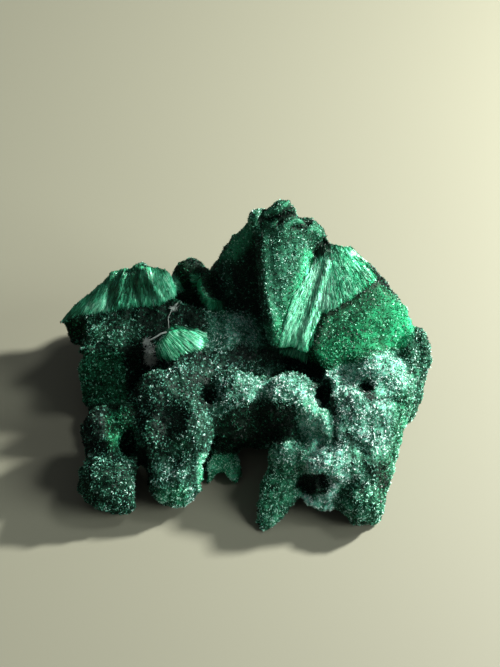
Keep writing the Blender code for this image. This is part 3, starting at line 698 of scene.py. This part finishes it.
# The least share of the length, and the least share of the width and what chance adds.
FIBRE_SHORTEST, FIBRE_WIDTHS = 0.5, (0.6, 0.8)
# A fibre's height for its half width, and how deep it is rooted, in mm.
FIBRE_CREST, FIBRE_ROOT = 0.9, 0.1
# Shares of the width at shares of the length, and how far up a crystal's shading a fibre starts.
TAPER_AT, TAPER = [0, 0.15, 0.8, 1], [0.3, 1, 0.9, 0.15]
FIBRE_SHADED = 0.3
# Streaks: how much they change the tone, and how many there are to a radian round the root and to a
# pixel away from it. The layer is the slice of the noise that they are cut from.
STREAK, STREAK_COUNT, STREAK_RATE, STREAK_LAYER = 0.22, 30, 0.03, 0.5


def fibre_path(skin, places, lift):
    """The run of a fibre over the skin, lifted off it, or None where the skin breaks off at once."""
    path, sides = [], []
    before = None
    for place in places:
        found = skin.hit(*place)
        if found is None:
            break
        point, normal = found
        if before is not None and np.linalg.norm(point - before) > FIBRE_JUMP * PIXEL * FIBRE_STEP:
            break
        before = point
        path.append(point + normal * lift)
        sides.append(normal)
    if len(path) < FIBRE_LEAST:
        return None
    return np.array(path), np.array(sides)


def ribbon(path, normals, wide):
    """A fibre's points, three at each place of its path: one edge, the crest, the other edge."""
    side = np.cross(np.gradient(path, axis=0), normals)
    side /= np.linalg.norm(side, axis=1)[:, None] + TINY
    taper = np.interp(np.linspace(0, 1, len(path)), TAPER_AT, TAPER)[:, None]
    edge = side * wide * taper
    sunk = normals * FIBRE_ROOT * MM
    crest = path + normals * wide * FIBRE_CREST * taper
    return np.stack([path + edge - sunk, crest, path - edge - sunk], axis=1).reshape(-1, 3)


def ribbon_faces(base, length):
    """The triangles between the rows of a ribbon whose points start at base."""
    faces = []
    for row in range(length - 1):
        here, there = base + row * 3, base + row * 3 + 3
        for edge in (0, 1):
            faces.append((here + edge, here + edge + 1, there + edge + 1))
            faces.append((here + edge, there + edge + 1, there + edge))
    return faces


def streaks(angles, away):
    """Lighter and darker streaks that run the way the fibres do."""
    spots = zip(angles * STREAK_COUNT, np.linalg.norm(away, axis=1) * STREAK_RATE)
    return np.array([noise.noise(Vector((*spot, STREAK_LAYER))) for spot in spots])


def fibres(name, skin, outline, root, count, length, width, lift, spread, material):
    """Silky fibres over an outline in the frame, running away from a root and ending near its edge."""
    ring = np.array(outline, dtype=float)
    low, high = ring.min(axis=0), ring.max(axis=0)
    starts = low + rng.random((count * FIBRE_TRIES, 2)) * (high - low)
    starts = starts[share_inside(outline, starts, 1.0) > 0.5][:count]
    size = len(starts)
    away = starts - np.array(root, dtype=float)
    angles = np.arctan2(away[:, 1], away[:, 0]) + rng.normal(size=size) * FIBRE_WAVER
    aims = np.stack([np.cos(angles), np.sin(angles)], axis=1)
    steps = (length * (FIBRE_SHORTEST + rng.random(size)) / FIBRE_STEP).astype(int)
    steps = np.maximum(FIBRE_LEAST, steps)
    runs = np.arange(steps.max() + 1)[None, :, None] * FIBRE_STEP * aims[:, None, :] + starts[:, None, :]
    kept = share_inside(outline, runs.reshape(-1, 2), OVERSHOOT).reshape(size, -1)
    kept = kept > 0.5 - 0.5 * rng.random(size)[:, None]
    # Tones carry the painted light and shade of the zones and lines.
    tone, green = zone_marks(starts)
    tone = np.clip(tone + spread * rng.normal(size=size) + STREAK * streaks(angles, away), 0, 1)
    lifts = lift * rng.random(size)
    thick = width * (FIBRE_WIDTHS[0] + FIBRE_WIDTHS[1] * rng.random(size)) / 2

    points, triangles, own = [], [], {"tone": [], "green": [], "tip": []}
    base = 0
    for index in range(size):
        within = kept[index, :steps[index] + 1]
        reach = len(within) if within.all() else int(np.argmin(within))
        found = fibre_path(skin, runs[index, :reach], lifts[index])
        if found is None:
            continue
        rows = ribbon(*found, thick[index])
        points.append(rows)
        triangles.extend(ribbon_faces(base, len(rows) // 3))
        base += len(rows)
        own["tone"].append(np.full(len(rows), tone[index]))
        own["green"].append(np.full(len(rows), green[index]))
        own["tip"].append(np.repeat(np.linspace(FIBRE_SHADED, 1, len(rows) // 3), 3))
    own = {mark: np.concatenate(values) for mark, values in own.items()}
    return piece(name, np.concatenate(points), np.array(triangles), material, own)


# ---- dirt: a hair, a thread and fluff ----

# Each strand: its run in the frame, width, lift.
STRANDS = {
    "hair": ([(173, 307), (171, 312), (169, 318), (168, 324), (169, 329)], 0.09 * MM, 0.35 * MM),
    "thread": ([(146, 341), (151, 339), (156, 336), (161, 334), (166, 332)], 0.30 * MM, 0.30 * MM),
}
# Where a strand's edges run round it.
THREAD_TURNS = [math.radians(turn) for turn in range(0, 360, 72)]
# Heaps of fluff: place in the frame, radius in pixels, number of hairs.
HEAPS = [((150, 350), 4.0, 200), ((151, 359), 5.0, 320), ((147, 342), 3.0, 120), ((174, 308), 2.2, 40)]
# A fluff hair's half width and lift, then its tilt, and its least length and what chance adds, in mm.
FLUFF_WIDTH, FLUFF_LIFT = 0.05, 0.5
FLUFF_TILT, FLUFF_LENGTHS = 0.3, (0.3, 0.5)


def strand(name, skin, line, width, lift, material):
    """A thread that lies along a line in the frame, on the skin."""
    found = [skin.hit(*place) for place in line]
    path = np.array([point + normal * lift for point, normal in found])
    along = np.gradient(path, axis=0)
    along /= np.linalg.norm(along, axis=1)[:, None]
    side = np.cross(along, BACK)
    other = np.cross(along, side)
    rows = []
    for turn in THREAD_TURNS:
        rows.append(path + (math.cos(turn) * side + math.sin(turn) * other) * width / 2)
    points = np.stack(rows, axis=1).reshape(-1, 3)
    sides = len(THREAD_TURNS)
    triangles = []
    for row in range(len(path) - 1):
        for edge in range(sides):
            here, after = row * sides + edge, row * sides + (edge + 1) % sides
            triangles.append((here, after, after + sides))
            triangles.append((here, after + sides, here + sides))
    return piece(name, points, np.array(triangles), material)


def tuft(name, skin, heaps, material):
    """Heaps of fine short hairs that lie across each other."""
    points, triangles = [], []
    for place, radius, count in heaps:
        for _ in range(count):
            start = np.array(place) + rng.normal(size=2) * radius / 2
            found = skin.hit(*start)
            if found is None:
                continue
            point, normal = found
            aim = np.cross(normal, rng.normal(size=3))
            aim /= np.linalg.norm(aim)
            side = np.cross(normal, aim) * FLUFF_WIDTH * MM
            near = point + normal * rng.random() * FLUFF_LIFT * MM
            tilted = aim + normal * FLUFF_TILT * rng.normal()
            far = near + tilted * (FLUFF_LENGTHS[0] + FLUFF_LENGTHS[1] * rng.random()) * MM
            base = len(points)
            points.extend([near - side, near + side, far])
            triangles.append((base, base + 1, base + 2))
    return piece(name, np.array(points), np.array(triangles), material, smooth=False)


# ---- materials ----

# Colour by tone, for greyish blue-green crystals and for pure green ones.
TURQUOISE = [
    (0.0, (0.003, 0.010, 0.007)), (0.25, (0.010, 0.045, 0.028)), (0.5, (0.049, 0.19, 0.122)),
    (0.75, (0.205, 0.54, 0.445)), (1.0, (0.80, 0.94, 0.92)),
]
GREEN = [
    (0.0, (0.001, 0.012, 0.004)), (0.25, (0.003, 0.06, 0.022)), (0.5, (0.010, 0.25, 0.10)),
    (0.75, (0.05, 0.56, 0.28)), (1.0, (0.36, 0.92, 0.64)),
]
# What a crystal's colour is multiplied by at its foot, as painted shade among its neighbours, and the
# share of its height where that ends.
VELVET_FOOT_SHADE, SILK_FOOT_SHADE, FOOT_END = (0.12, 0.2, 0.16), (0.6, 0.66, 0.62), 0.8
STONE_IOR, DULL_IOR = 1.36, 1.2
SKIN_ROUGHNESS, VELVET_ROUGHNESS, DULL_ROUGHNESS, SILK_ROUGHNESS = 0.7, 0.42, 0.45, 0.3
MOTTLE_SCALE, MOTTLE_DETAIL, MOTTLE_DEPTH = 900.0, 2.0, 0.5
FLUFF_COLOUR, FLUFF_ROUGHNESS = (0.42, 0.48, 0.44), 0.8
FLOOR_COLOUR, FLOOR_ROUGHNESS = (0.146, 0.146, 0.105), 0.7


def mark(nodes, name):
    made = nodes.new("ShaderNodeAttribute")
    made.attribute_name = name
    return made.outputs["Fac"]


def ramp(tree, source, stops):
    made = tree.nodes.new("ShaderNodeValToRGB")
    while len(made.color_ramp.elements) < len(stops):
        made.color_ramp.elements.new(0.5)
    for element, (place, colour) in zip(made.color_ramp.elements, stops):
        element.position = place
        element.color = (*colour, 1.0)
    tree.links.new(source, made.inputs["Fac"])
    return made.outputs["Color"]


def mix(tree, share, first, second, way="MIX"):
    made = tree.nodes.new("ShaderNodeMix")
    made.data_type = "RGBA"
    made.blend_type = way
    sockets = [item for item in made.inputs if item.enabled]
    for socket, value in zip(sockets, (share, first, second)):
        if isinstance(value, float):
            socket.default_value = value
        else:
            tree.links.new(value, socket)
    return next(item for item in made.outputs if item.enabled)


def plain_material(name, roughness, ior=None, colour=None):
    material = bpy.data.materials.new(name)
    material.use_nodes = True
    surface = material.node_tree.nodes["Principled BSDF"]
    surface.inputs["Roughness"].default_value = roughness
    if ior:
        surface.inputs["IOR"].default_value = ior
    if colour:
        surface.inputs["Base Color"].default_value = (*colour, 1.0)
    return material, material.node_tree, surface


def speckle(tree):
    place = tree.nodes.new("ShaderNodeTexCoord")
    made = tree.nodes.new("ShaderNodeTexNoise")
    made.inputs["Scale"].default_value = MOTTLE_SCALE
    made.inputs["Detail"].default_value = MOTTLE_DETAIL
    tree.links.new(place.outputs["Object"], made.inputs["Vector"])
    return made.outputs["Fac"]


def tinted(tree, tone):
    return mix(tree, mark(tree.nodes, "green"), ramp(tree, tone, TURQUOISE), ramp(tree, tone, GREEN))


def skin_material():
    """The stone between the crystals: mottled, and darker than they are, with painted shade."""
    material, tree, surface = plain_material("malachite_skin", SKIN_ROUGHNESS, DULL_IOR)
    mottle = tree.nodes.new("ShaderNodeMath")
    mottle.operation = "MULTIPLY_ADD"
    tree.links.new(speckle(tree), mottle.inputs[0])
    mottle.inputs[1].default_value = MOTTLE_DEPTH
    tree.links.new(mark(tree.nodes, "ground"), mottle.inputs[2])
    tree.links.new(tinted(tree, mottle.outputs[0]), surface.inputs["Base Color"])
    return material


def crystal_material(name, roughness, foot, ior):
    """Crystals in a mix of tones, each with painted shade at its foot."""
    material, tree, surface = plain_material(name, roughness, ior)
    shade = ramp(tree, mark(tree.nodes, "tip"), [(0.0, foot), (FOOT_END, (1.0, 1.0, 1.0))])
    colour = mix(tree, 1.0, tinted(tree, mark(tree.nodes, "tone")), shade, "MULTIPLY")
    tree.links.new(colour, surface.inputs["Base Color"])
    return material


# ---- the scene ----

# Stone that carries no needles: near the table, and a little higher where it faces down.
BARE_HEIGHT, UNDER_HEIGHT, UNDER_SLOPE = 0.5 * MM, 1.5 * MM, -0.7
# Skin turned farther from the camera than this carries the sparser velvet of the back.
SIDE_ON = -0.15
# Left of this the front's velvet is the dull copy, whose weaker reflections are painted shade on the left.
LEFT_END = -2 * MM
# Half the floor's width, in metres.
FLOOR_REACH = 1.5
SEED = 7


def dress(skin, marks):
    """Velvet on the rough and plain skin, fibres on the silky forms, and the dirt."""
    # A lit copy of the velvet and a dull copy whose weaker reflections paint shade: the dull one goes on
    # the left of the front and on the back.
    lit_velvet = crystal_material("velvet", VELVET_ROUGHNESS, VELVET_FOOT_SHADE, STONE_IOR)
    shaded_velvet = crystal_material("velvet_shaded_copy", DULL_ROUGHNESS, VELVET_FOOT_SHADE, DULL_IOR)
    silk = crystal_material("silk", SILK_ROUGHNESS, SILK_FOOT_SHADE, STONE_IOR)
    fluff, _, _ = plain_material("fluff", FLUFF_ROUGHNESS, STONE_IOR, FLUFF_COLOUR)

    height = skin.points[:, 2]
    bare = (height < BARE_HEIGHT) | ((skin.normals[:, 2] < UNDER_SLOPE) & (height < UNDER_HEIGHT))
    silky = np.maximum.reduce([marks["silk"], marks["roof"]])
    rough = np.where(bare, 0, 1 - silky) * (1 - marks["plain"])
    shown = np.where(skin.normals @ BACK > SIDE_ON, 1.0, 0.0)
    left = skin.points[:, 0] < LEFT_END
    velvet("velvet_front_left", "front", skin, marks, rough * shown * left, shaded_velvet)
    velvet("velvet_front_right", "front", skin, marks, rough * shown * ~left, lit_velvet)
    velvet("velvet_back", "back", skin, marks, rough * (1 - shown), shaded_velvet)
    velvet("velvet_tent", "tent", skin, marks, np.where(bare, 0, marks["plain"]) * shown, lit_velvet)

    for name, settings in FIBRES.items():
        fibres(name, skin, *settings, silk)
    for name, settings in STRANDS.items():
        strand(name, skin, *settings, fluff)
    tuft("tuft", skin, HEAPS, fluff)


def lay_floor():
    far = FLOOR_REACH
    mesh = bpy.data.meshes.new("floor")
    mesh.from_pydata([(-far, -far, 0), (far, -far, 0), (far, far, 0), (-far, far, 0)], [], [(0, 1, 2, 3)])
    mesh.materials.append(plain_material("floor", FLOOR_ROUGHNESS, colour=FLOOR_COLOUR)[0])
    floor = bpy.data.objects.new("floor", mesh)
    bpy.context.scene.collection.objects.link(floor)


rng = np.random.default_rng(SEED)
set_camera()
set_lights()
dress(*make_skin(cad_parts["malachite"]))
lay_floor()
